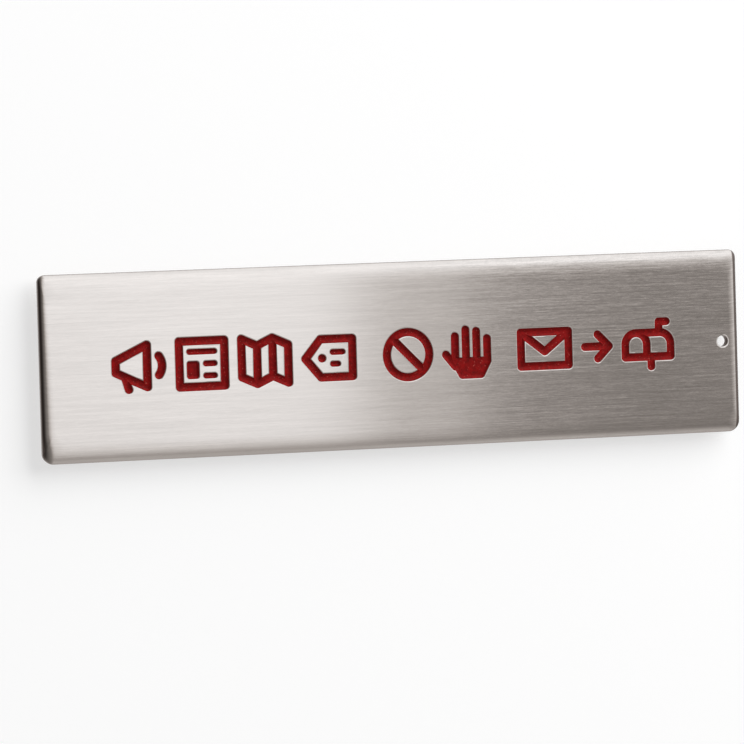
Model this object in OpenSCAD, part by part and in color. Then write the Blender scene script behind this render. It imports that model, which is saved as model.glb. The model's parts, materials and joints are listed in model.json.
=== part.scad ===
// No advertising sign for a letterbox or a door.
// A brushed steel plate with rolled front edges, one fixing hole and nine engraved pictograms filled with
// red enamel: four kinds of advertising, a prohibition ring and a stop hand, then a letter on its way
// into a letterbox.
//
// Frame: X runs along the sign to the right as a reader sees it, Z is up, and the reader looks along +Y.
// The origin is the centre of the back face, so the back lies in the plane Y = 0.

/* [Plate] */
// Length of the plate from left to right
plate_length = 120; // [110:1:180]
// Height of the plate
plate_height = 30; // [20:1:60]
// Thickness of the steel
plate_thickness = 1.5; // [1.4:0.1:3]
// Radius of the two upper corners, seen from the front
top_corner_radius = 1.2; // [1.2:0.1:5]
// Radius of the two lower corners, seen from the front
bottom_corner_radius = 1.8; // [1.2:0.1:5]
// Radius of the rolled edge round the front face
edge_radius = 1.1; // [0.3:0.1:1.1]

/* [Fixing hole] */
// Diameter of the hole, for a small nail or screw
hole_diameter = 1.8; // [1.2:0.1:2.6]
// Distance from the middle of the hole to the right edge of the plate
hole_from_edge = 3; // [2.8:0.1:5]
// Radius of the rounded rim where the hole meets the front face
hole_rim_radius = 0.2; // [0.1:0.05:0.4]

/* [Engraving] */
// Width of an engraved stroke
stroke_width = 1.3; // [0.9:0.05:1.4]
// Width of the finer strokes inside a pictogram
fine_stroke_width = 0.9; // [0.5:0.05:1]
// Extra width on each side where the cutter dwells, at the ends and bends of a stroke
dwell_swell = 0.02; // [0.01:0.005:0.05]
// Depth of the engraving below the front face
engraving_depth = 0.5; // [0.3:0.05:0.9]
// Distance that the surface of the enamel stays below the front face
enamel_drop = 0.15; // [0.05:0.05:0.25]

/* [Pictograms] */
// Height of a pictogram over its strokes
pictogram_height = 8.6; // [7.6:0.1:9.2]
// Clear space between neighbours in one group
pictogram_gap = 1.6; // [1:0.1:2]
// Clear space between two groups
group_gap = 4.6; // [2:0.1:6]

/* [Hidden] */
$fn = 96;

// Cutters run past the surface that they open by this much
overrun = 0.5;

steel = [0.74, 0.73, 0.71];
enamel = [0.57, 0.06, 0.06];

hole_radius = hole_diameter / 2;
hole_x = plate_length / 2 - hole_from_edge;
groove_floor = plate_thickness - engraving_depth;
enamel_thickness = engraving_depth - enamel_drop;

// Every pictogram is drawn by its centre lines on a grid that is ten cells high
grid_rows = 10;
cell = (pictogram_height - stroke_width) / grid_rows;

// Widths of the pictograms over their centre lines, in cells
megaphone_width = 10.6;
newspaper_width = 10.4;
leaflet_width = 10.8;
price_tag_width = 11;
prohibition_width = grid_rows;
hand_width = 9.8;
envelope_width = 11.4;
arrow_width = 5.8;
letterbox_width = 11;

// The row from left to right: the width of each pictogram, and the clear space that follows it
widths = [
    megaphone_width, newspaper_width, leaflet_width, price_tag_width,
    prohibition_width, hand_width,
    envelope_width, arrow_width, letterbox_width,
];
spaces = [
    pictogram_gap, pictogram_gap, pictogram_gap, group_gap,
    pictogram_gap, group_gap,
    pictogram_gap, pictogram_gap, 0,
];

function outer_width(i) = widths[i] * cell + stroke_width;
function left_side(i) = i == 0 ? 0 : left_side(i - 1) + outer_width(i - 1) + spaces[i - 1];
row_width = left_side(len(widths) - 1) + outer_width(len(widths) - 1);

// Strokes, drawn flat on the grid: a dot where the cutter dwells, a bar between two points, a run through
// several, and a ring or bow about a centre

module dot(centre, width = stroke_width) {
    translate(centre * cell)
        circle(r = width / 2 + dwell_swell);
}

module bar(a, b, width) {
    span = (b - a) * cell;
    translate(a * cell)
        rotate(atan2(span.y, span.x))
            translate([0, -width / 2])
                square([norm(span), width]);
}

module run(points, width = stroke_width, closed = false) {
    last = len(points) - 1;
    for (i = [0:last]) {
        dot(points[i], width);
        if (i < last || closed)
            bar(points[i], points[(i + 1) % (last + 1)], width);
    }
}

module ring(centre, radius, width = stroke_width) {
    translate(centre * cell)
        difference() {
            circle(r = radius * cell + width / 2);
            circle(r = radius * cell - width / 2);
        }
}

// Turns anticlockwise from one angle to the other, by less than half a turn
module bow(centre, radius, from, to, width = stroke_width) {
    reach = 2 * (radius * cell + width);
    intersection() {
        ring(centre, radius, width);
        translate(centre * cell)
            polygon([
                [0, 0],
                reach * [cos(from), sin(from)],
                reach * [cos((from + to) / 2), sin((from + to) / 2)],
                reach * [cos(to), sin(to)],
            ]);
    }
    for (angle = [from, to])
        dot(centre + radius * [cos(angle), sin(angle)], width);
}

// The nine pictograms, each with its left centre line at x = 0 and its centre lines from y = 0 to 10

module megaphone() {
    mouth = [7.2, 5];
    sound_radius = megaphone_width - mouth.x;
    run([[0, 3.7], [0, 6.3], [mouth.x, 9.6], [mouth.x, 0.4]], closed = true);
    run([[2.1, 2.6], [2.9, 0]]);
    bow(mouth, sound_radius, -38, 38);
}

module newspaper() {
    page = [newspaper_width, grid_rows];
    margin = 2.35;
    headline = page.y - margin;
    column = 6.1;
    lines = [margin, 5];
    picture = [[margin, lines[0]], [margin, lines[1]], [3.9, lines[1]], [3.9, lines[0]]];
    inset = fine_stroke_width / 4 * [1, 1];
    run([[0, 0], [0, page.y], page, [page.x, 0]], closed = true);
    run([[margin, headline], [page.x - margin, headline]], fine_stroke_width);
    run(picture, fine_stroke_width, closed = true);
    translate(picture[0] * cell + inset)
        square((picture[2] - picture[0]) * cell - 2 * inset);
    for (line = lines)
        run([[column, line], [page.x - margin, line]], fine_stroke_width);
}

module leaflet() {
    fold = leaflet_width / 3;
    slant = 1.6;
    top = [for (i = [0:3]) [i * fold, grid_rows - (i % 2) * slant]];
    bottom = [for (i = [3:-1:0]) [i * fold, slant - (i % 2) * slant]];
    run(concat(top, bottom), closed = true);
    for (i = [1, 2])
        bar(top[i], bottom[3 - i], stroke_width);
}

module price_tag() {
    right = price_tag_width;
    run([[0, 5], [3.6, 9.2], [right, 9.2], [right, 0.8], [3.6, 0.8]], closed = true);
    dot([3.9, 5]);
    run([[6.4, 6.3], [8.7, 6.3]], fine_stroke_width);
    run([[6.4, 3.7], [7.6, 3.7]], fine_stroke_width);
}

module prohibition() {
    middle = [grid_rows, grid_rows] / 2;
    radius = grid_rows / 2;
    reach = radius * [cos(45), -sin(45)];
    ring(middle, radius);
    bar(middle - reach, middle + reach, stroke_width);
}

module hand() {
    palm_left = 2.2;
    finger_pitch = (hand_width - palm_left) / 3;
    finger_tips = [8.6, 10, 9.6, 7.9];
    knuckles = 3.9;
    wrist = [palm_left + 1.6, hand_width - 1.6];
    palm = [[palm_left, 2.9], [wrist[0], 0], [wrist[1], 0], [hand_width, 2.9]];
    run([[0, 4.6], [palm_left, 1.9]]);
    for (i = [0:3])
        run([palm[0] + [i * finger_pitch, 0], [palm_left + i * finger_pitch, finger_tips[i]]]);
    run(palm);
    polygon(cell * concat(palm, [[hand_width, knuckles], [palm_left, knuckles]]));
}

module envelope() {
    right = envelope_width;
    run([[0, 1.2], [0, 8.8], [right, 8.8], [right, 1.2]], closed = true);
    run([[0, 8.8], [right / 2, 4.4], [right, 8.8]]);
}

module arrow() {
    tip = [arrow_width, 5];
    barb = [2.7, 2.7];
    run([[0, tip.y], tip]);
    run([tip - barb, tip, [tip.x - barb.x, tip.y + barb.y]]);
}

module letterbox() {
    right = letterbox_width;
    arch = 2.6;
    floor_line = 2.2;
    spring_line = 5;
    post = 6.2;
    flag = 8.2;
    bow([arch, spring_line], arch, 0, 90);
    bow([arch, spring_line], arch, 90, 180);
    run([[0, spring_line], [0, floor_line], [right, floor_line], [right, spring_line]]);
    bar([2 * arch, spring_line], [2 * arch, floor_line], stroke_width);
    bar([arch, spring_line + arch], [right - arch, spring_line + arch], stroke_width);
    bow([right - arch, spring_line], arch, 0, 90);
    run([[post, floor_line], [post, 0]]);
    run([[flag, spring_line + arch], [flag, grid_rows], [flag + 1.8, grid_rows]]);
}

module pictogram(i) {
    if (i == 0) megaphone();
    if (i == 1) newspaper();
    if (i == 2) leaflet();
    if (i == 3) price_tag();
    if (i == 4) prohibition();
    if (i == 5) hand();
    if (i == 6) envelope();
    if (i == 7) arrow();
    if (i == 8) letterbox();
}

// Stands pictogram i up at its place in the row, from one distance in front of the back face to another
module standing_pictogram(i, from, to) {
    translate([0, -from, 0])
        rotate([90, 0, 0])
            linear_extrude(height = to - from)
                translate([
                    left_side(i) - row_width / 2 + stroke_width / 2,
                    -grid_rows * cell / 2,
                ])
                    pictogram(i);
}

// Section across the rolled edge, from an inner line out to the edge, with the front face up
module edge_section(reach) {
    difference() {
        square([reach, plate_thickness]);
        translate([reach - edge_radius, plate_thickness - edge_radius])
            difference() {
                square(edge_radius + overrun);
                circle(r = edge_radius);
            }
    }
}

// A bar along Y with its front face up, and its front edge rolled on both sides or on the +X side alone
module rolled_bar(reach, length, both_sides = true) {
    rotate([90, 0, 0])
        linear_extrude(height = length, center = true)
            for (side = both_sides ? [0, 1] : [0])
                mirror([side, 0])
                    edge_section(reach);
}

// The plate without hole or engraving, lying on its back with its upper edge towards +Y
module blank() {
    translate([0, (bottom_corner_radius - top_corner_radius) / 2, 0])
        rolled_bar(plate_length / 2, plate_height - top_corner_radius - bottom_corner_radius);
    for (up = [1, -1]) {
        radius = up == 1 ? top_corner_radius : bottom_corner_radius;
        rotate([0, 0, up * 90])
            rolled_bar(plate_height / 2, plate_length - 2 * radius, both_sides = false);
        for (side = [-1, 1])
            translate([side * (plate_length / 2 - radius), up * (plate_height / 2 - radius), 0])
                rotate_extrude()
                    edge_section(radius);
    }
}

// Cutter for the hole and its rounded front rim, along Z with the back face at z = 0
module hole_cutter() {
    translate([0, 0, -overrun])
        cylinder(h = plate_thickness + 2 * overrun, r = hole_radius);
    translate([0, 0, plate_thickness - hole_rim_radius])
        rotate_extrude()
            difference() {
                square([hole_radius + hole_rim_radius, hole_rim_radius + overrun]);
                translate([hole_radius + hole_rim_radius, 0])
                    circle(r = hole_rim_radius);
            }
}

module plate() {
    color(steel)
        difference() {
            rotate([90, 0, 0])
                difference() {
                    blank();
                    translate([hole_x, 0, 0])
                        hole_cutter();
                }
            for (i = [0:len(widths) - 1])
                standing_pictogram(i, groove_floor, plate_thickness + overrun);
        }
}

// The enamel of pictogram i sits on the floor and against the walls of its engraving
module enamel_fill(i) {
    color(enamel)
        standing_pictogram(i, groove_floor, groove_floor + enamel_thickness);
}

plate();
enamel_fill(0);  // megaphone_enamel
enamel_fill(1);  // newspaper_enamel
enamel_fill(2);  // leaflet_enamel
enamel_fill(3);  // price_tag_enamel
enamel_fill(4);  // prohibition_enamel
enamel_fill(5);  // hand_enamel
enamel_fill(6);  // envelope_enamel
enamel_fill(7);  // arrow_enamel
enamel_fill(8);  // letterbox_enamel
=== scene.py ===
# %% [markdown]
# # A brushed steel sign with red enamel
# The sign is a flat plate of stainless steel, 120 mm long, brushed from end to end. Its front edges are
# rolled over softly, and one small hole near the right end takes a screw. A row of nine pictograms is
# engraved in the front with a round cutter, and dark red enamel fills the engraving.
#
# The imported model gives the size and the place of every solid. This lesson makes finer meshes that stand
# for those solids, then gives them their finishes, a small studio and a camera.

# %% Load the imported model
import json
import math

import bmesh
import bpy
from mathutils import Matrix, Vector


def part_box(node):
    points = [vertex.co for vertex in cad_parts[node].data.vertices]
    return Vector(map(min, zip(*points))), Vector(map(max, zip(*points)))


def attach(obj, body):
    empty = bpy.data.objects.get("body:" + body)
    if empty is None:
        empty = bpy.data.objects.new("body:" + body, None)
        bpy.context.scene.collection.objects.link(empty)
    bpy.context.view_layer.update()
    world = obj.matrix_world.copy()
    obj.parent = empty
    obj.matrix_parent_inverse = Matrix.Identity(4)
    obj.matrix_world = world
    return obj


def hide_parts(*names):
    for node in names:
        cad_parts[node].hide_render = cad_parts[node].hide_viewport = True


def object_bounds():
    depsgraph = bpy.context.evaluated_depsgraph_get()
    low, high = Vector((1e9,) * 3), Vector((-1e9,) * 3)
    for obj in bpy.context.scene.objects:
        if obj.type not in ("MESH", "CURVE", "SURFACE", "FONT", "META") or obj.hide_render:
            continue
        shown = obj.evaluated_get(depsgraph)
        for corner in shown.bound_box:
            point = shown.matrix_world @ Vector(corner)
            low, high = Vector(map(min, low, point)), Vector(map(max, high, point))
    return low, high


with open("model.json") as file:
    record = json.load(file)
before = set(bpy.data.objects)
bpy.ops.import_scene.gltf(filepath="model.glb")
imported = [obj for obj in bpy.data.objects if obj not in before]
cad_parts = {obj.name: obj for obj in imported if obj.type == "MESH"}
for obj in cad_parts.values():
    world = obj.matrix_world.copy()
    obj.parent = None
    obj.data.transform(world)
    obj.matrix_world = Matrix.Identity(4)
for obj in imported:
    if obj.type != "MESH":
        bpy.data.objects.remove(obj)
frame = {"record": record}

MM = 0.001
cad_low, cad_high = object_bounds()
plate_length, plate_thickness, plate_height = cad_high - cad_low
front = cad_low.y
back = cad_high.y
print(f"plate {plate_length / MM:.1f} x {plate_height / MM:.1f} x {plate_thickness / MM:.2f} mm")

# %% [markdown]
# ## The pictograms as strokes
# An engraver doesn't cut shapes, but strokes: the cutter goes down, follows a line and comes up again. So
# every pictogram is a list of strokes, each a path and a width, on a grid that is ten cells high. A bend
# in a straight run is two strokes that share an end, as they do on the machine. A curved stroke is one
# path with many short steps.

# %% The grid and the two kinds of stroke
STROKE = 1.3 * MM
FINE_STROKE = 0.9 * MM
PICTOGRAM_HEIGHT = 8.6 * MM
GRID_ROWS = 10
CELL = (PICTOGRAM_HEIGHT - STROKE) / GRID_ROWS
ARC_STEP = 6


def run(points, width=STROKE, closed=False):
    """Straight strokes through points, each as (path, width)."""
    points = [Vector(p) for p in points]
    ends = points[1:] + points[:1] if closed else points[1:]
    return [([a, b], width) for a, b in zip(points, ends)]


def bow(centre, radius, start, end, width=STROKE):
    """One curved stroke about a centre, from one angle in degrees to another."""
    steps = math.ceil((end - start) / ARC_STEP)
    angles = [math.radians(start + (end - start) * i / steps) for i in range(steps + 1)]
    path = [Vector(centre) + radius * Vector((math.cos(a), math.sin(a))) for a in angles]
    return [(path, width)]


def show(*drawings):
    """Prints how many strokes each drawing has."""
    for drawing in drawings:
        print(f"{drawing.__name__}: {len(drawing()[0])} strokes")


print(f"one cell is {CELL / MM:.2f} mm")

# %% [markdown]
# ## Four kinds of advertising
# A megaphone, a newspaper, a folded leaflet and a price tag stand for what the letterbox doesn't want.
# The picture on the newspaper and the palm of the hand are pockets: areas that the cutter clears inside
# the strokes round them.

# %% Megaphone and newspaper
def megaphone():
    mouth = 7.2
    sound = 3.4
    horn = run([(0, 3.7), (0, 6.3), (mouth, 9.6), (mouth, 0.4)], closed=True)
    handle = run([(2.1, 2.6), (2.9, 0)])
    return horn + handle + bow((mouth, 5), sound, -38, 38), []


def newspaper():
    right = 10.4
    margin = 2.35
    headline = GRID_ROWS - margin
    column = 6.1
    lines = [margin, 5]
    picture = [(margin, margin), (margin, 5), (3.9, 5), (3.9, margin)]
    strokes = run([(0, 0), (0, GRID_ROWS), (right, GRID_ROWS), (right, 0)], closed=True)
    strokes += run([(margin, headline), (right - margin, headline)], FINE_STROKE)
    strokes += run(picture, FINE_STROKE, closed=True)
    for line in lines:
        strokes += run([(column, line), (right - margin, line)], FINE_STROKE)
    return strokes, [picture]


show(megaphone, newspaper)


# %% Leaflet and price tag
def leaflet():
    fold = 3.6
    slant = 1.6
    top = [(i * fold, GRID_ROWS - (i % 2) * slant) for i in range(4)]
    bottom = [(i * fold, slant - (i % 2) * slant) for i in range(4)]
    strokes = run(top + bottom[::-1], closed=True)
    for i in (1, 2):
        strokes += run([top[i], bottom[i]])
    return strokes, []


def price_tag():
    right = 11
    strokes = run([(0, 5), (3.6, 9.2), (right, 9.2), (right, 0.8), (3.6, 0.8)], closed=True)
    strokes += run([(3.9, 5), (3.9, 5)])
    strokes += run([(6.4, 6.3), (8.7, 6.3)], FINE_STROKE)
    strokes += run([(6.4, 3.7), (7.6, 3.7)], FINE_STROKE)
    return strokes, []


show(leaflet, price_tag)

# %% [markdown]
# ## The stop and what is welcome
# A prohibition ring and a stop hand say no. An envelope, an arrow and a letterbox say that letters may
# come in.

# %% Ring and hand
def prohibition():
    middle = Vector((5, 5))
    radius = 5
    reach = radius * Vector((math.cos(math.radians(45)), -math.sin(math.radians(45))))
    ring = bow(middle, radius, 0, 180) + bow(middle, radius, 180, 360)
    return ring + run([middle - reach, middle + reach]), []


def hand():
    palm_left = 2.2
    right = 9.8
    pitch = (right - palm_left) / 3
    knuckles = 3.9
    base = 2.9
    palm = [(palm_left, base), (palm_left + 1.6, 0), (right - 1.6, 0), (right, base)]
    strokes = run([(0, 4.6), (palm_left, 1.9)]) + run(palm)
    for i, tip in enumerate((8.6, 10, 9.6, 7.9)):
        strokes += run([(palm_left + i * pitch, base), (palm_left + i * pitch, tip)])
    return strokes, [palm + [(right, knuckles), (palm_left, knuckles)]]


show(prohibition, hand)


# %% Envelope, arrow and letterbox
def envelope():
    right = 11.4
    strokes = run([(0, 1.2), (0, 8.8), (right, 8.8), (right, 1.2)], closed=True)
    return strokes + run([(0, 8.8), (right / 2, 4.4), (right, 8.8)]), []


def arrow():
    tip = Vector((5.8, 5))
    barb = 2.7
    shaft = run([(0, 5), tip])
    return shaft + run([tip - Vector((barb, barb)), tip, tip + Vector((-barb, barb))]), []


def letterbox():
    right = 11
    arch = 2.6
    floor_line = 2.2
    spring = 5
    crown = spring + arch
    post = 6.2
    flag = 8.2
    strokes = bow((arch, spring), arch, 0, 180) + bow((right - arch, spring), arch, 0, 90)
    strokes += run([(0, spring), (0, floor_line), (right, floor_line), (right, spring)])
    strokes += run([(2 * arch, spring), (2 * arch, floor_line)])
    strokes += run([(arch, crown), (right - arch, crown)])
    strokes += run([(post, floor_line), (post, 0)])
    strokes += run([(flag, crown), (flag, GRID_ROWS), (flag + 1.8, GRID_ROWS)])
    return strokes, []


show(envelope, arrow, letterbox)

# %% [markdown]
# ## Each pictogram at its place
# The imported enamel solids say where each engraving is. The middle of a drawing is set on the middle of
# its solid, so the row follows the part's own layout. The print shows how far the size of each drawing
# is from that of its solid.

# %% Move the drawings from the grid to the plate
DRAWINGS = {
    "megaphone_enamel": megaphone,
    "newspaper_enamel": newspaper,
    "leaflet_enamel": leaflet,
    "price_tag_enamel": price_tag,
    "prohibition_enamel": prohibition,
    "hand_enamel": hand,
    "envelope_enamel": envelope,
    "arrow_enamel": arrow,
    "letterbox_enamel": letterbox,
}


def place_drawing(node, drawing):
    """Strokes and pockets of one pictogram in metres, as (x, z) on the plate."""
    strokes, pockets = drawing()
    points = [p * CELL for path, _ in strokes for p in path]
    low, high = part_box(node)
    corner = Vector([min(p[i] for p in points) for i in (0, 1)])
    size = Vector([max(p[i] for p in points) for i in (0, 1)]) - corner
    middle = Vector((low.x + high.x, low.z + high.z)) / 2
    shift = middle - corner - size / 2
    misfit = max(high.x - low.x - size.x, high.z - low.z - size.y) - STROKE
    print(f"{node}: {misfit / MM:.3f} mm from its solid")
    placed = [([p * CELL + shift for p in path], width) for path, width in strokes]
    return placed, [[Vector(p) * CELL + shift for p in pocket] for pocket in pockets]


row = {node: place_drawing(node, drawing) for node, drawing in DRAWINGS.items()}

# %% [markdown]
# ## A cutter swept along a path
# The groove has the shape that a turning tool leaves when it is pulled along the stroke. Seen from the
# front, every depth of that groove is the same path with a round end, only wider or narrower. So a stroke
# is a stack of such outlines, one for each depth of the tool's profile, joined by bands of faces. This
# gives clean strips of quads, which a beveled curve would not give at its ends.

# %% The outline of a stroke
END_STEPS = 14
DOT_LENGTH = 0.0001 * MM


def round_end(centre, side, reach):
    """Points of the half circle about one end, from one side of the path to the other."""
    start = math.atan2(side.y, side.x)
    angles = [start - math.pi * step / END_STEPS for step in range(1, END_STEPS)]
    return [centre + reach * Vector((math.cos(a), math.sin(a))) for a in angles]


def outline_round(path, reach):
    """Points round an open path at a distance, with a half circle at each end."""
    if (path[-1] - path[0]).length < DOT_LENGTH:
        path = [path[0], path[0] + Vector((DOT_LENGTH, 0))]
    sides = []
    for i in range(len(path)):
        along = (path[min(i + 1, len(path) - 1)] - path[max(i - 1, 0)]).normalized()
        sides.append(Vector((-along.y, along.x)))
    there = [p + n * reach for p, n in zip(path, sides)]
    back_again = [p - n * reach for p, n in zip(reversed(path), reversed(sides))]
    far_end = round_end(path[-1], sides[-1], reach)
    near_end = round_end(path[0], -sides[0], reach)
    return there + far_end + back_again + near_end


dot = [Vector((0, 0)), Vector((0, 0))]
print(f"a dot has {len(outline_round(dot, STROKE / 2))} points round it")


# %% Stack outlines into a closed mesh
def stack(name, rings):
    """A closed mesh object from rings of (x, z) points, each with its own y."""
    shape = bmesh.new()
    layers = [[shape.verts.new((p.x, y, p.y)) for p in points] for points, y in rings]
    count = len(layers[0])
    for lower, upper in zip(layers, layers[1:]):
        for i in range(count):
            j = (i + 1) % count
            shape.faces.new((lower[i], lower[j], upper[j], upper[i]))
    shape.faces.new(layers[0])
    shape.faces.new(layers[-1])
    bmesh.ops.recalc_face_normals(shape, faces=shape.faces)
    mesh = bpy.data.meshes.new(name)
    shape.to_mesh(mesh)
    shape.free()
    return bpy.data.objects.new(name, mesh)


def sweep(name, path, profile):
    """The solid that a tool of that (reach, depth) profile leaves along a path."""
    return stack(name, [(outline_round(path, reach), front + depth) for reach, depth in profile])


# %% [markdown]
# ## Three profiles
# The cutter leaves an upright wall, and the brushing after it has rounded the rim a little, so the wall
# flares out just below the face. The enamel is a second solid: the same walls up to the face, less a
# shallow trough, because the lacquer shrinks as it dries and clings to the walls. The rim of the flare
# stops short of lying flat on the face, so that the cut through the face is a clear one.

# %% Profiles of the groove, the enamel and the hollow in the enamel
ENGRAVING_DEPTH = 0.5 * MM
RIM = 0.2 * MM
RIM_DEPTH = 0.12 * MM
RIM_TURN = 75
RIM_STEPS = 5
OVERRUN = 0.3 * MM
ENAMEL_CONTACT = 0.14 * MM
ENAMEL_SAG = 0.3 * MM
HOLLOW_STEPS = (0.06, 0.25, 0.43, 0.6, 0.75, 0.87, 0.96)
HOLLOW_EDGE = 1.06


def groove_profile(half):
    """(reach, depth) from the floor to above the face, with a rounded rim."""
    profile = [(half, ENGRAVING_DEPTH)]
    for step in range(RIM_STEPS + 1):
        angle = math.radians(RIM_TURN) * step / RIM_STEPS
        profile.append((half + RIM * (1 - math.cos(angle)), RIM_DEPTH * (1 - math.sin(angle))))
    return profile + [(half + RIM, -0.05 * RIM), (half + RIM, -OVERRUN)]


def enamel_profile(half):
    """The upright body of the enamel, which the hollow then opens."""
    return [(half, ENGRAVING_DEPTH), (half, -OVERRUN)]


def hollow_profile(half):
    """A trough that is deepest along the middle of the stroke."""
    steps = (*HOLLOW_STEPS, HOLLOW_EDGE)
    trough = [(s * half, ENAMEL_CONTACT + ENAMEL_SAG * (1 - s * s)) for s in steps]
    return trough + [(HOLLOW_EDGE * half, -OVERRUN)]


for profile_of in (groove_profile, enamel_profile, hollow_profile):
    print(f"{profile_of.__name__}: {len(profile_of(STROKE / 2))} points")


# %% [markdown]
# ## Cutting and joining
# The Boolean modifier does both. Its Manifold solver is fast and exact enough for hundreds of closed
# shapes at once, and it takes a whole collection of cutters in one pass. The result is written to a
# plain mesh, and the cutters are deleted. A pocket's floor and top lie a hair off those of the strokes
# round it, so that no two faces of the tools fall on each other.

# %% Boolean helpers
POCKET_LIFT = 0.004 * MM
POCKET_TOP = 0.8 * OVERRUN

bench = bpy.data.collections.new("bench")
bpy.context.scene.collection.children.link(bench)


def combine(blank, tools, operation):
    """Joins tools to a blank, or cuts them from it, and clears the bench."""
    bench.objects.link(blank)
    box_of_tools = bpy.data.collections.new("tools")
    bench.children.link(box_of_tools)
    for tool in tools:
        box_of_tools.objects.link(tool)
    modifier = blank.modifiers.new(operation.lower(), "BOOLEAN")
    modifier.operation = operation
    modifier.solver = "MANIFOLD"
    modifier.operand_type = "COLLECTION"
    modifier.collection = box_of_tools
    bpy.context.view_layer.update()
    made = blank.evaluated_get(bpy.context.evaluated_depsgraph_get())
    mesh = bpy.data.meshes.new_from_object(made)
    blank.modifiers.clear()
    blank.data = mesh
    for tool in tools:
        bpy.data.objects.remove(tool)
    bpy.data.collections.remove(box_of_tools)
    bench.objects.unlink(blank)
    return blank


def swept_tools(name, strokes, pockets, profile_of):
    """One solid for each stroke, and a straight one for each pocket between strokes."""
    tools = [sweep(name, path, profile_of(width / 2)) for path, width in strokes]
    for pocket in pockets:
        floor = profile_of(FINE_STROKE / 2)[0][1] - POCKET_LIFT
        tools.append(stack(name, [(pocket, front + floor), (pocket, front - POCKET_TOP)]))
    return tools


# %% [markdown]
# ## The plate
# Pressing and tumbling roll the front edges over: near the rim the face falls away faster and faster,
# along a quarter of an ellipse that is squared up a little. The roll is widest along the two long sides.
# At the ends it is narrow, and each corner has its own radius and its own width of the roll, as on a plate
# that was finished by hand. A Bevel modifier would be round, would be the same everywhere, and would show
# as a hard line where it meets the face. The blank is stacked from rounded outlines again, from the back
# up to the face, and then cut by all the grooves and the hole at once.

# %% Stack the blank
CORNERS = [  # right, up, radius, width of the roll at the end
    (1, 1, 1.2 * MM, 2.2 * MM),
    (-1, 1, 1.2 * MM, 1.3 * MM),
    (-1, -1, 1.8 * MM, 2.0 * MM),
    (1, -1, 1.8 * MM, 1.8 * MM),
]
INNER_RADIUS = 2.0 * MM
CORNER_STEPS = 12
ROLL_AT_SIDES = 3.4 * MM
ROLL_DEPTH = 1.1 * MM
ROLL_POWER = 2.5
ROLL_STEPS = 18
BACK_BREAK = 0.06 * MM


def rounded_rectangle(share=0.0, inset=0.0):
    """The plate's outline at share 0, the rim of the flat face at share 1, and between."""
    points = []
    for quarter, (right, up, outer_radius, roll_at_end) in enumerate(CORNERS):
        radius = outer_radius * (1 - share) + INNER_RADIUS * share
        x = plate_length / 2 - roll_at_end * share - inset - radius
        z = plate_height / 2 - ROLL_AT_SIDES * share - inset - radius
        for step in range(CORNER_STEPS + 1):
            angle = math.radians(90) * (quarter + step / CORNER_STEPS)
            turn = Vector((math.cos(angle), math.sin(angle)))
            points.append(Vector((right * x, up * z)) + radius * turn)
    return points


def plate_rings():
    """Rings from the back, up the side and over the roll to the face."""
    rings = [(rounded_rectangle(inset=BACK_BREAK), back), (rounded_rectangle(), back - BACK_BREAK)]
    for step in range(ROLL_STEPS + 1):
        angle = math.radians(90) * step / ROLL_STEPS
        share = 1 - math.cos(angle) ** (2 / ROLL_POWER)
        depth = ROLL_DEPTH * (1 - math.sin(angle) ** (2 / ROLL_POWER))
        rings.append((rounded_rectangle(share), front + depth))
    return rings


blank = stack("plate", plate_rings())
print(f"blank: {len(blank.data.polygons)} faces")

# %% [markdown]
# ## The hole
# The hole is drilled. Its front rim is drawn in a little and rounded over by the brushing, and its back rim
# is a plain break. The record of the part gives the middle and the radius, so the hole stays where the
# real screw goes. Its cutter is turned like a bobbin, from rings at each depth, and joins the grooves in
# one pass.

# %% Turn the cutter for the hole
HOLE_RIM = 0.3 * MM
HOLE_RIM_DEPTH = 0.14 * MM
HOLE_RIM_TURN = 80
HOLE_RIM_STEPS = 10
HOLE_BACK_BREAK = 0.28 * MM
HOLE_STEPS = 72
mounts = {mount["name"]: mount for mount in frame["record"]["mounts"]}
hole_place = Vector(mounts["screw_hole"]["pos_m"])
hole_radius = mounts["screw_hole"]["dims"]["r_mm"] * MM


def hole_cutter():
    """Flares to the back and to the face, and straight between."""
    profile = [
        (hole_radius + HOLE_BACK_BREAK, plate_thickness + OVERRUN),
        (hole_radius + HOLE_BACK_BREAK, plate_thickness),
        (hole_radius, plate_thickness - HOLE_BACK_BREAK),
    ]
    for step in range(HOLE_RIM_STEPS + 1):
        angle = math.radians(HOLE_RIM_TURN) * step / HOLE_RIM_STEPS
        reach = hole_radius + HOLE_RIM * (1 - math.cos(angle))
        profile.append((reach, HOLE_RIM_DEPTH * (1 - math.sin(angle))))
    edge = hole_radius + HOLE_RIM
    profile += [(edge, -0.02 * HOLE_RIM_DEPTH), (edge, -OVERRUN)]
    middle = Vector((hole_place.x, hole_place.z))
    angles = [2 * math.pi * i / HOLE_STEPS for i in range(HOLE_STEPS)]
    turns = [Vector((math.cos(a), math.sin(a))) for a in angles]
    rings = [([middle + reach * t for t in turns], front + depth) for reach, depth in profile]
    return stack("hole", rings)


print(f"hole: radius {hole_radius / MM:.2f} mm at x {hole_place.x / MM:.1f} mm")

# %% Cut the plate
grooves = [hole_cutter()]
for strokes, pockets in row.values():
    grooves += swept_tools("groove", strokes, pockets, groove_profile)
plate = combine(blank, grooves, "DIFFERENCE")
print(f"plate: {len(plate.data.polygons)} faces after {len(grooves)} cuts")

# %% [markdown]
# ## The enamel
# Each pictogram's enamel is one piece of work: its strokes are joined into one body with the groove's
# own walls, and the troughs are cut from that. Where two strokes meet, the two troughs cross and leave
# the small ridges that real enamel has in the corners of such engraving.

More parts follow.
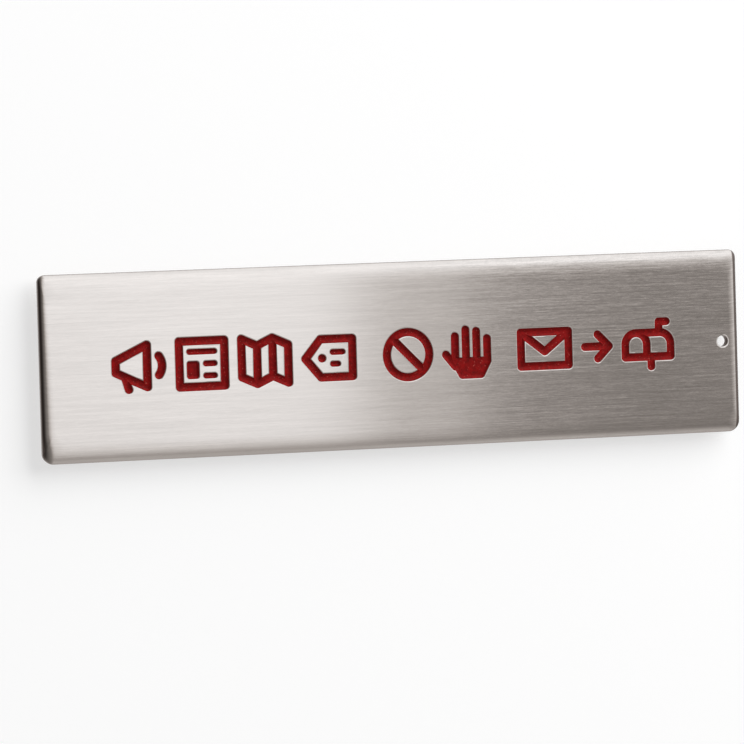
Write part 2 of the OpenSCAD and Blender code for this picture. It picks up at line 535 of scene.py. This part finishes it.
# %% Fill the engraving
def fill(node):
    """The enamel of one pictogram."""
    strokes, pockets = row[node]
    bodies = swept_tools(node, strokes, pockets, enamel_profile)
    body = combine(bodies[0], bodies[1:], "UNION")
    hollows = swept_tools("hollow", strokes, pockets, hollow_profile)
    hollow = combine(hollows[0], hollows[1:], "UNION")
    enamel = combine(body, [hollow], "DIFFERENCE")
    print(f"{node}: {len(enamel.data.polygons)} faces")
    return enamel


enamels = {node: fill(node) for node in DRAWINGS}
bpy.data.collections.remove(bench)

# %% [markdown]
# ## Shading and the direction of the brushing
# Faces that meet at less than a set angle are shaded as one smooth surface, and the Weighted Normal
# modifier lets the large flat face decide the shading at its border. The steel also needs to know which
# way it was brushed. A UV map says so: its U runs along the plate on every face, as the belt ran.

# %% Smooth faces, sharp edges and the brushing map
SHARP_ANGLE = 38
WELD = 0.0004 * MM
FACE_WEIGHT = 80


def finish_mesh(piece):
    """Smooth shading with sharp edges kept, and a UV map whose U follows the belt."""
    mesh = piece.data
    shape = bmesh.new()
    shape.from_mesh(mesh)
    bmesh.ops.remove_doubles(shape, verts=shape.verts, dist=WELD)
    for face in shape.faces:
        face.smooth = True
    for edge in shape.edges:
        bent = len(edge.link_faces) == 2 and edge.calc_face_angle() > math.radians(SHARP_ANGLE)
        edge.smooth = not bent
    layer = shape.loops.layers.uv.new("brushing")
    for face in shape.faces:
        across = "z" if abs(face.normal.y) > abs(face.normal.z) else "y"
        for loop in face.loops:
            place = loop.vert.co
            loop[layer].uv = (place.x / plate_length, getattr(place, across) / plate_length)
    shape.to_mesh(mesh)
    shape.free()
    bpy.context.scene.collection.objects.link(piece)
    weighted = piece.modifiers.new("face shading", "WEIGHTED_NORMAL")
    weighted.keep_sharp = True
    weighted.weight = FACE_WEIGHT


for piece in [plate, *enamels.values()]:
    finish_mesh(piece)
print(f"shaded {1 + len(enamels)} meshes")

# %% [markdown]
# ## Node groups for the finishes
# Two effects are node groups, each built once, with inputs for its size and strength. Scratches are rows
# of grain. The surface is divided into narrow rows across the belt, each row takes its own place in a
# noise, and the noise is drawn out along the row. So a scratch is straight and owes nothing to the ones
# beside it. A stretched noise alone would wave and swell, like grain in wood. Specks are the sparse dots
# where noise passes a limit, such as the light specks in the enamel, partly dust and partly painted glints.

# %% Helpers that build groups and link nodes
def new_group(name, inputs, outputs):
    """An empty shader group with its sockets, and its two end nodes."""
    group = bpy.data.node_groups.new(name, "ShaderNodeTree")
    for label, kind, value in inputs:
        socket = group.interface.new_socket(label, in_out="INPUT", socket_type=kind)
        if value is not None:
            socket.default_value = value
    for label, kind in outputs:
        group.interface.new_socket(label, in_out="OUTPUT", socket_type=kind)
    return group, group.nodes.new("NodeGroupInput"), group.nodes.new("NodeGroupOutput")


def add(tree, kind, settings=(), **inputs):
    """A node with its settings, its input values, or links where an input is a socket."""
    node = tree.nodes.new(kind)
    for name, value in dict(settings).items():
        setattr(node, name, value)
    for name, value in inputs.items():
        key = int(name[1:]) if name[0] == "_" else name.replace("_", " ")
        if isinstance(value, bpy.types.NodeSocket):
            tree.links.new(value, node.inputs[key])
        else:
            node.inputs[key].default_value = value
    return node


def reckon(tree, operation, *values):
    """The result of one Math node."""
    inputs = {f"_{i}": value for i, value in enumerate(values)}
    return add(tree, "ShaderNodeMath", {"operation": operation}, **inputs).outputs[0]


# %% Scratches
APART = 100.0


def build_scratches():
    """Straight lines along X, about 0: how wide a line is and how long a dash in it, in mm."""
    group, given, out = new_group(
        "scratches",
        [
            ("Width", "NodeSocketFloat", 0.1),
            ("Length", "NodeSocketFloat", 10.0),
            ("Contrast", "NodeSocketFloat", 1.0),
        ],
        [("Height", "NodeSocketFloat")],
    )
    place = add(group, "ShaderNodeTexCoord").outputs["Object"]
    millimetres = add(group, "ShaderNodeVectorMath", {"operation": "SCALE"}, _0=place, Scale=1000.0)
    at = add(group, "ShaderNodeSeparateXYZ", Vector=millimetres.outputs[0])
    across = reckon(group, "SUBTRACT", at.outputs["Z"], at.outputs["Y"])
    line = reckon(group, "FLOOR", reckon(group, "DIVIDE", across, given.outputs["Width"]))
    dash = reckon(group, "DIVIDE", at.outputs["X"], given.outputs["Length"])
    lot = add(group, "ShaderNodeTexWhiteNoise", {"noise_dimensions": "1D"}, W=line)
    own_place = add(
        group, "ShaderNodeVectorMath", {"operation": "MULTIPLY_ADD"}, _0=lot.outputs["Color"],
        _1=(APART, APART, APART), _2=add(group, "ShaderNodeCombineXYZ", X=dash).outputs[0],
    )
    noise = add(
        group, "ShaderNodeTexNoise", Vector=own_place.outputs[0], Scale=1.0,
        Detail=5.0, Roughness=0.8,
    )
    centred = reckon(group, "SUBTRACT", noise.outputs[0], 0.5)
    strong = reckon(group, "MULTIPLY", centred, given.outputs["Contrast"])
    group.links.new(strong, out.inputs["Height"])
    return group


scratches = build_scratches()
print(f"scratches: {len(scratches.nodes)} nodes")


# %% Specks
SPECK_SOFTNESS = 0.06


def build_specks():
    """Sparse dots, where a noise of that spacing in mm passes a limit."""
    group, given, out = new_group(
        "specks",
        [("Spacing", "NodeSocketFloat", 0.2), ("Limit", "NodeSocketFloat", 0.7)],
        [("Mask", "NodeSocketFloat")],
    )
    place = add(group, "ShaderNodeTexCoord").outputs["Object"]
    per_metre = reckon(group, "DIVIDE", 1000.0, given.outputs["Spacing"])
    noise = add(
        group, "ShaderNodeTexNoise", Vector=place, Scale=per_metre, Detail=1.0, Roughness=0.5,
    )
    full = reckon(group, "ADD", given.outputs["Limit"], SPECK_SOFTNESS)
    dots = add(
        group, "ShaderNodeMapRange", {"interpolation_type": "SMOOTHSTEP"}, Value=noise.outputs[0],
        From_Min=given.outputs["Limit"], From_Max=full,
    )
    group.links.new(dots.outputs[0], out.inputs["Mask"])
    return group


specks = build_specks()
print(f"specks: {len(specks.nodes)} nodes")

# %% [markdown]
# ## Brushed stainless steel
# The belt leaves millions of fine parallel scratches. Across them light spreads into a wide fan, and
# along them it stays nearly as sharp as in a mirror. The shader's Anisotropic setting does exactly that,
# turned by the UV map of the brushing.
#
# The scratches that the eye can still make out are two sizes of rows. A few places get painted shade: a
# dark steel colour on the two ends and on the wall of the drilled hole, in place of the dark room they
# reflect.

# %% Where shade is painted on the steel
# Painted shade: a dark steel colour laid over the ends and the hole's wall, standing in for dark
# reflections.
PAINTED_SHADE_STEEL = (0.12, 0.09, 0.08, 1.0)
PAINTED_SHADE_ENDS = [
    (cad_low.x + 0.7 * MM, cad_low.x + 0.1 * MM),
    (cad_high.x - 0.84 * MM, cad_high.x - 0.64 * MM),
]
PAINTED_SHADE_SHARE = 0.9
PAINTED_SHADE_HOLE_WALL = (hole_radius + 0.05 * MM, hole_radius)


def blend_along(tree, value, stretch, levels):
    """A number that goes from one level to another over a stretch of a value."""
    made = add(
        tree, "ShaderNodeMapRange", {"interpolation_type": "SMOOTHSTEP"}, Value=value,
        From_Min=stretch[0], From_Max=stretch[1], To_Min=levels[0], To_Max=levels[1],
    )
    return made.outputs[0]


def scaled(tree, vector, factors):
    """A vector with each of its parts times a factor."""
    return add(
        tree, "ShaderNodeVectorMath", {"operation": "MULTIPLY"}, _0=vector, _1=factors,
    ).outputs[0]


def painted_shade_places(tree, place):
    """A mask of painted shade: the two ends and the wall of the drilled hole."""
    along = add(tree, "ShaderNodeSeparateXYZ", Vector=place).outputs["X"]
    ends = [blend_along(tree, along, stretch, (0.0, PAINTED_SHADE_SHARE)) for stretch in PAINTED_SHADE_ENDS]
    from_hole = add(
        tree, "ShaderNodeVectorMath", {"operation": "SUBTRACT"}, _0=place, _1=hole_place
    )
    flat = scaled(tree, from_hole.outputs[0], (1.0, 0.0, 1.0))
    reach = add(tree, "ShaderNodeVectorMath", {"operation": "LENGTH"}, _0=flat)
    shaded_hole_wall = blend_along(tree, reach.outputs["Value"], PAINTED_SHADE_HOLE_WALL, (0.0, 1.0))
    return reckon(tree, "MAXIMUM", reckon(tree, "MAXIMUM", *ends), shaded_hole_wall)


widths = [abs(stretch[0] - edge) / MM for stretch, edge in zip(PAINTED_SHADE_ENDS, (cad_low.x, cad_high.x))]
print("dark ends, mm wide:", [round(width, 2) for width in widths])


# %% The colour of the brushed steel
STEEL = (0.775, 0.74, 0.72)
FINE_LINES = {"Width": 0.09, "Length": 2.2, "Contrast": 1.8}
COARSE_LINES = {"Width": 0.17, "Length": 24.0, "Contrast": 1.6}
LINES_GROW = (-2 * MM, 26 * MM)
LINE_TONE = (0.12, 0.34)
BANDS = (0.06, 0.0, 1.6)
BAND_TONE = 0.16
DARKEST_BAND = 0.91


def brushed_colour(tree, place, along, lines):
    """Wide faint bands, with the scratches in them, and the painted shade of the ends and the hole over
    both.
    """
    bands = add(
        tree, "ShaderNodeTexNoise", Scale=1000.0, Detail=1.0, Vector=scaled(tree, place, BANDS),
    )
    strength = blend_along(tree, along, LINES_GROW, LINE_TONE)
    level = reckon(tree, "MULTIPLY_ADD", bands.outputs[0], BAND_TONE, DARKEST_BAND)
    tone = reckon(tree, "MULTIPLY_ADD", lines, strength, level)
    toned = add(tree, "ShaderNodeVectorMath", {"operation": "SCALE"}, _0=STEEL, Scale=tone)
    # Here the painted shade of the ends and the hole darkens the steel's colour.
    colour = add(
        tree, "ShaderNodeMix", {"data_type": "RGBA"}, _0=painted_shade_places(tree, place),
        _6=toned.outputs[0], _7=PAINTED_SHADE_STEEL,
    )
    return colour.outputs[2]


print(f"scratches in rows of {FINE_LINES['Width']} mm and {COARSE_LINES['Width']} mm")

# %% [markdown]
# ## The lean of the surface
# The scratches also tilt the surface up and down, more toward the right end, where the steel reflects a
# dim part of the room and every tilt shows. The tilt is added to the normal as a number. A bump would tilt
# the normal sideways as well, and blur what is reflected along the plate. The same sum gives the face a
# slight crown, and carries the roll of the left end on through the lower corner, in front only.

# %% The normal of the brushed steel
LINE_TILT = (0.02, 0.085)
END_TILT = 0.06
CROWN = 1.2
CORNER_LEAN = 0.78
CORNER_LEAN_X = (cad_low.x + 2 * MM, cad_low.x)
CORNER_LEAN_Z = (cad_low.z + 5 * MM, cad_low.z + 1 * MM)
CORNER_LEAN_Y = (cad_high.y - 0.05 * MM, cad_high.y - 0.4 * MM)


def brushed_normal(tree, at, lines):
    """The mesh's own normal, leaning with the scratches, the crown and the corner."""
    tilt = reckon(tree, "MULTIPLY", lines,
                  blend_along(tree, at.outputs["X"], LINES_GROW, LINE_TILT))
    upward = reckon(tree, "MULTIPLY_ADD", at.outputs["Z"], CROWN, tilt)
    low = blend_along(tree, at.outputs["Z"], CORNER_LEAN_Z, (0.0, -CORNER_LEAN))
    at_left = blend_along(tree, at.outputs["X"], CORNER_LEAN_X, (0.0, 1.0))
    in_front = blend_along(tree, at.outputs["Y"], CORNER_LEAN_Y, (0.0, 1.0))
    rolled = reckon(tree, "MULTIPLY", at_left, in_front)
    to_left = reckon(tree, "MULTIPLY", rolled, reckon(tree, "MULTIPLY_ADD", lines, END_TILT, low))
    lean = add(tree, "ShaderNodeCombineXYZ", X=to_left, Z=upward)
    leaning = add(
        tree, "ShaderNodeVectorMath", {"operation": "ADD"}, _1=lean.outputs[0],
        _0=add(tree, "ShaderNodeNewGeometry").outputs["Normal"],
    )
    normal = add(tree, "ShaderNodeVectorMath", {"operation": "NORMALIZE"}, _0=leaning.outputs[0])
    return normal.outputs[0]


print(f"the crown leans {math.degrees(math.atan(CROWN * cad_high.z)):.1f} degrees at the upper edge")


# %% Steel
ROUGH_LINES = (-0.4, 0.4)
ROUGHNESS = (0.09, 0.12)


def new_material(name):
    """A material with its tree and its Principled shader."""
    material = bpy.data.materials.new(name)
    material.use_nodes = True
    return material, material.node_tree, material.node_tree.nodes["Principled BSDF"]


def put(tree, group, **inputs):
    """A group node with its values."""
    node = add(tree, "ShaderNodeGroup", {"node_tree": group})
    for name, value in inputs.items():
        node.inputs[name].default_value = value
    return node.outputs[0]


def steel_material():
    """Brushed steel: the colour, the normal, the roughness and the direction of the belt."""
    material, tree, shader = new_material("brushed_steel")
    place = add(tree, "ShaderNodeTexCoord").outputs["Object"]
    at = add(tree, "ShaderNodeSeparateXYZ", Vector=place)
    fine, coarse = [put(tree, scratches, **values) for values in (FINE_LINES, COARSE_LINES)]
    lines = reckon(tree, "ADD", fine, coarse)
    colour = brushed_colour(tree, place, at.outputs["X"], lines)
    rough = blend_along(tree, lines, ROUGH_LINES, ROUGHNESS)
    tree.links.new(colour, shader.inputs["Base Color"])
    tree.links.new(rough, shader.inputs["Roughness"])
    tree.links.new(brushed_normal(tree, at, lines), shader.inputs["Normal"])
    brushing = add(tree, "ShaderNodeTangent", {"direction_type": "UV_MAP", "uv_map": "brushing"})
    tree.links.new(brushing.outputs[0], shader.inputs["Tangent"])
    shader.inputs["Metallic"].default_value = 1.0
    shader.inputs["Anisotropic"].default_value = 1.0
    shader.inputs["Anisotropic Rotation"].default_value = 0.25
    return material


steel = steel_material()
print(f"steel: {len(steel.node_tree.nodes)} nodes")

# %% [markdown]
# ## Red enamel
# The lacquer is a dark red with a satin gloss. It dries unevenly: the colour wanders a little, the
# surface is faintly lumpy, and a few light specks lie in it, partly grains of dust and partly painted
# glints.

# %% Enamel
RED = (0.27, 0.004, 0.004, 1.0)
DEEP_RED = (0.15, 0.002, 0.002, 1.0)
# Light specks, partly dust and partly painted glints that stand in for the lamp's highlights, which the
# lacquer doesn't reflect.
DUST_AND_GLINTS = (0.50, 0.10, 0.08, 1.0)
DUST_AND_GLINT_SPOTS = {"Spacing": 0.24, "Limit": 0.70}
CLOUDS = {"Scale": 1600.0, "Detail": 3.0, "Roughness": 0.6}
CLOUD_COLOUR = {"From_Min": 0.3, "From_Max": 0.62}
CLOUD_ROUGHNESS = {"From_Min": 0.3, "From_Max": 0.7, "To_Min": 0.36, "To_Max": 0.52}
LUMPS = {"Strength": 0.6, "Distance": 0.05 * MM}


def enamel_material():
    """Satin red lacquer with light specks, partly dust and partly painted glints."""
    material, tree, shader = new_material("red_enamel")
    place = add(tree, "ShaderNodeTexCoord").outputs["Object"]
    clouds = add(tree, "ShaderNodeTexNoise", Vector=place, **CLOUDS).outputs[0]
    shade = add(tree, "ShaderNodeMapRange", Value=clouds, **CLOUD_COLOUR)
    plain = add(
        tree, "ShaderNodeMix", {"data_type": "RGBA"}, _0=shade.outputs[0], _6=DEEP_RED, _7=RED,
    )
    dust_and_glints = put(tree, specks, **DUST_AND_GLINT_SPOTS)
    speckled = add(
        tree, "ShaderNodeMix", {"data_type": "RGBA"}, _0=dust_and_glints, _6=plain.outputs[2], _7=DUST_AND_GLINTS,
    )
    rough = add(tree, "ShaderNodeMapRange", Value=clouds, **CLOUD_ROUGHNESS)
    bump = add(tree, "ShaderNodeBump", Height=clouds, **LUMPS)
    tree.links.new(speckled.outputs[2], shader.inputs["Base Color"])
    tree.links.new(rough.outputs[0], shader.inputs["Roughness"])
    tree.links.new(bump.outputs[0], shader.inputs["Normal"])
    shader.inputs["Specular IOR Level"].default_value = 0.15
    return material


lacquer = enamel_material()
print(f"enamel: {len(lacquer.node_tree.nodes)} nodes")

# %% [markdown]
# ## Handing the pieces over
# Each piece gets its material and rides on the one body of the sign, and the imported solid that it
# stands for is hidden, so that it goes on working for the physics.

# %% Give every piece its material, its body and its solid
plate.name = "steel_plate"
for node, enamel in enamels.items():
    enamel.name = node.replace("_enamel", "_lacquer")


def seat(piece, node, material):
    """Finishes one piece and ties it to the frame."""
    piece.data.materials.clear()
    piece.data.materials.append(material)
    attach(piece, "root")
    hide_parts(node)


seat(plate, "plate", steel)
for node, enamel in enamels.items():
    seat(enamel, node, lacquer)
print("pieces:", plate.name, *(enamel.name for enamel in enamels.values()))

# %% [markdown]
# ## The wall and the floor
# The sign hangs just in front of a white wall, so a soft shadow falls beside it and below it. The wall and
# the floor far below are plain sheets of one material. It glows just enough to read as white and still
# takes the shadow, and from behind it isn't there at all, so that it never hides the back of the sign.
# The steel doesn't see the sheets. It sees the room that the world holds.

# %% Wall and floor
WALL_GAP = 2.6 * MM
FLOOR_DROP = 0.30
SHEET_SIZE = 3.0
SHEET_GLOW = 0.57
SHEET_WHITE = (0.5, 0.5, 0.5, 1.0)


def sheet(name, corners):
    """One square face, part of the studio."""
    mesh = bpy.data.meshes.new(name)
    mesh.from_pydata(corners, [], [(0, 1, 2, 3)])
    piece = bpy.data.objects.new(name, mesh)
    bpy.context.scene.collection.objects.link(piece)
    return piece


def sheet_material():
    """White with a shadow in front, and nothing from behind."""
    material = bpy.data.materials.new("white_sheet")
    material.use_nodes = True
    tree = material.node_tree
    tree.nodes.clear()
    paint = add(tree, "ShaderNodeBsdfDiffuse", Color=SHEET_WHITE)
    glow = add(tree, "ShaderNodeEmission", Strength=SHEET_GLOW)
    lit = add(tree, "ShaderNodeAddShader", _0=paint.outputs[0], _1=glow.outputs[0])
    clear = add(tree, "ShaderNodeBsdfTransparent")
    behind = add(tree, "ShaderNodeNewGeometry").outputs["Backfacing"]
    side = add(tree, "ShaderNodeMixShader", _0=behind, _1=lit.outputs[0], _2=clear.outputs[0])
    out = add(tree, "ShaderNodeOutputMaterial")
    tree.links.new(side.outputs[0], out.inputs["Surface"])
    return material


def make_stage():
    """The wall behind the sign and the floor below it, seen by the camera alone."""
    h = SHEET_SIZE / 2
    y = back + WALL_GAP
    z = -FLOOR_DROP
    wall = sheet("wall", [(-h, y, z), (h, y, z), (h, y, h), (-h, y, h)])
    floor = sheet("floor", [(-h, -h, z), (h, -h, z), (h, h, z), (-h, h, z)])
    white = sheet_material()
    for piece in (wall, floor):
        piece.data.materials.append(white)
        piece.visible_diffuse = False
        piece.visible_glossy = False
        piece.visible_shadow = False
    print(f"wall {WALL_GAP / MM:.1f} mm behind the sign, floor {FLOOR_DROP:.2f} m below it")


make_stage()

# %% [markdown]
# ## The light
# Brushed steel is a picture of the room that it hangs in, so the room is built with care, out of a few
# ramps in the world. The first go by the angle to the side. They are bright in front and fall in small
# steps, which the flat plate draws out into its slow change from light to dark, and a lighter wall far to
# the right edges the right end. Then come a dimmer part below, a light ceiling and a floor, by height. The
# far left is dark, which gives the left end its dark roll, and the dim parts are a little warmer.
#
# The camera sees plain white instead, and everything matt gets an even soft level. One soft lamp from the
# upper right makes the shadow and shapes the engraving. The steel doesn't see the lamp.

# %% The room that the steel reflects
ROOM_START = 0.85
ROOM_STEPS = [
    (4, 14, 0.98), (15.5, 18, 1.07), (19.7, 20.35, 0.51), (20.35, 20.65, 0.64),
    (20.85, 21.3, 0.34), (21.3, 22.7, 0.24), (27, 56, 0.7),
]
ROOM_LEFT = [(4, -22, 0.23), (-22, -70, 0.075)]
ROOM_HEIGHTS = [(-0.02, 0.55, 1.12), (0.6, 0.95, 1.0), (0.0, -0.75, 0.2), (-0.5, -0.8, 0.47)]
ROOM_BEHIND = [(0.2, 0.7, 0.3), (0.86, 0.92, 0.95)]
ROOM_WARMTH = (1.10, 1.0, 0.92, 1.0)


def room_steps(tree, room, value, steps):
    """A level that changes from step to step, each as (start, end, level)."""
    for start, end, level in steps:
        share = add(tree, "ShaderNodeMapRange", Value=value, From_Min=start, From_Max=end)
        room = add(tree, "ShaderNodeMix", _0=share.outputs[0], _2=room, _3=level).outputs[0]
    return room


def reflected_room(tree, direction):
    """What the steel sees, by the angle to the side in degrees, plus to the right, and by height."""
    parts = add(tree, "ShaderNodeSeparateXYZ", Vector=direction)
    degrees = reckon(tree, "DEGREES", reckon(tree, "ARCSINE", parts.outputs["X"]))
    room = room_steps(tree, ROOM_START, degrees, ROOM_STEPS)
    room = room_steps(tree, room, parts.outputs["Z"], ROOM_HEIGHTS)
    room = room_steps(tree, room, degrees, ROOM_LEFT)
    room = room_steps(tree, room, parts.outputs["Y"], ROOM_BEHIND)
    warmth = add(
        tree, "ShaderNodeMix", {"data_type": "RGBA"}, _0=room, _6=ROOM_WARMTH, _7=(1.0, 1.0, 1.0, 1.0)
    )
    return room, warmth.outputs[2]


print(f"room: {len(ROOM_STEPS) + len(ROOM_LEFT)} ramps to the sides, {len(ROOM_HEIGHTS)} by height")

# %% World
AMBIENT = 0.28
WHITE = (1.0, 1.0, 1.0, 1.0)


def make_world():
    """White to the camera, a room to the steel, an even level to the rest."""
    world = bpy.data.worlds.new("studio")
    bpy.context.scene.world = world
    world.use_nodes = True
    tree = world.node_tree
    tree.nodes.clear()
    direction = add(tree, "ShaderNodeTexCoord").outputs["Generated"]
    level, warmth = reflected_room(tree, direction)
    room = add(tree, "ShaderNodeBackground", Color=warmth, Strength=level)
    even = add(tree, "ShaderNodeBackground", Color=WHITE, Strength=AMBIENT)
    white = add(tree, "ShaderNodeBackground", Color=WHITE, Strength=1.0)
    ray = add(tree, "ShaderNodeLightPath")
    seen = reckon(
        tree, "MAXIMUM", ray.outputs["Is Camera Ray"], ray.outputs["Is Transmission Ray"]
    )
    matt = add(
        tree, "ShaderNodeMixShader", _0=ray.outputs["Is Glossy Ray"], _1=even.outputs[0],
        _2=room.outputs[0],
    )
    final = add(
        tree, "ShaderNodeMixShader", _0=seen, _1=matt.outputs[0], _2=white.outputs[0]
    )
    out = add(tree, "ShaderNodeOutputWorld")
    tree.links.new(final.outputs[0], out.inputs["Surface"])
    print(f"world: {len(tree.nodes)} nodes")


make_world()

# %% Key lamp
KEY_HEADING = 46
KEY_HEIGHT = 38
KEY_DISTANCE = 1.3
KEY_SIZE = 1.4
KEY_POWER = 23.0


def heading_vector(azimuth, elevation):
    """From the sign towards a heading in degrees, 0 in front and plus to the right."""
    a, e = math.radians(azimuth), math.radians(elevation)
    return Vector((math.sin(a) * math.cos(e), -math.cos(a) * math.cos(e), math.sin(e)))


def make_key():
    """One large soft lamp."""
    lamp = bpy.data.lights.new("key", "AREA")
    lamp.shape = "SQUARE"
    lamp.size = KEY_SIZE
    lamp.energy = KEY_POWER
    key = bpy.data.objects.new("key", lamp)
    towards = heading_vector(KEY_HEADING, KEY_HEIGHT)
    key.location = towards * KEY_DISTANCE
    key.rotation_euler = towards.to_track_quat("Z", "Y").to_euler()
    key.visible_camera = False
    key.visible_glossy = False
    bpy.context.scene.collection.objects.link(key)
    print(f"key lamp: {KEY_POWER:.0f} W, {KEY_DISTANCE} m away")


make_key()

# %% [markdown]
# ## The camera
# The photograph was taken from a little to the left, nearly level, from about eight plate lengths away,
# with the camera turned by nearly two degrees. The plate isn't in the middle of the picture, so the camera
# aims beside it by the same few millimetres.

# %% Camera
VIEW_HEADING = -20.1
VIEW_HEIGHT = 2.5
VIEW_ROLL = 1.64
VIEW_DISTANCE = 0.94
PICTURE = 744
MM_PER_PIXEL = 0.16136
PLATE_IN_PICTURE = Vector((396.35, 355.0))
SENSOR = 36.0


def make_camera():
    """The photograph's own view."""
    camera_data = bpy.data.cameras.new("camera")
    camera_data.sensor_width = SENSOR
    camera_data.lens = SENSOR * VIEW_DISTANCE / (PICTURE * MM_PER_PIXEL * MM)
    camera = bpy.data.objects.new("camera", camera_data)
    bpy.context.scene.collection.objects.link(camera)
    towards = heading_vector(VIEW_HEADING, VIEW_HEIGHT)
    turn = towards.to_track_quat("Z", "Y").to_matrix()
    roll = math.radians(VIEW_ROLL)
    right = turn.col[0] * math.cos(roll) - turn.col[1] * math.sin(roll)
    up = turn.col[0] * math.sin(roll) + turn.col[1] * math.cos(roll)
    turn.col[0], turn.col[1] = right, up
    off = (Vector((PICTURE, PICTURE)) / 2 - PLATE_IN_PICTURE) * MM_PER_PIXEL * MM
    middle = (cad_low + cad_high) / 2
    camera.location = middle + towards * VIEW_DISTANCE + right * off.x - up * off.y
    camera.rotation_euler = turn.to_euler()
    bpy.context.scene.camera = camera
    print(f"lens {camera_data.lens:.0f} mm at {VIEW_DISTANCE} m")


make_camera()

# %% Colour management
bpy.context.scene.view_settings.view_transform = "Standard"
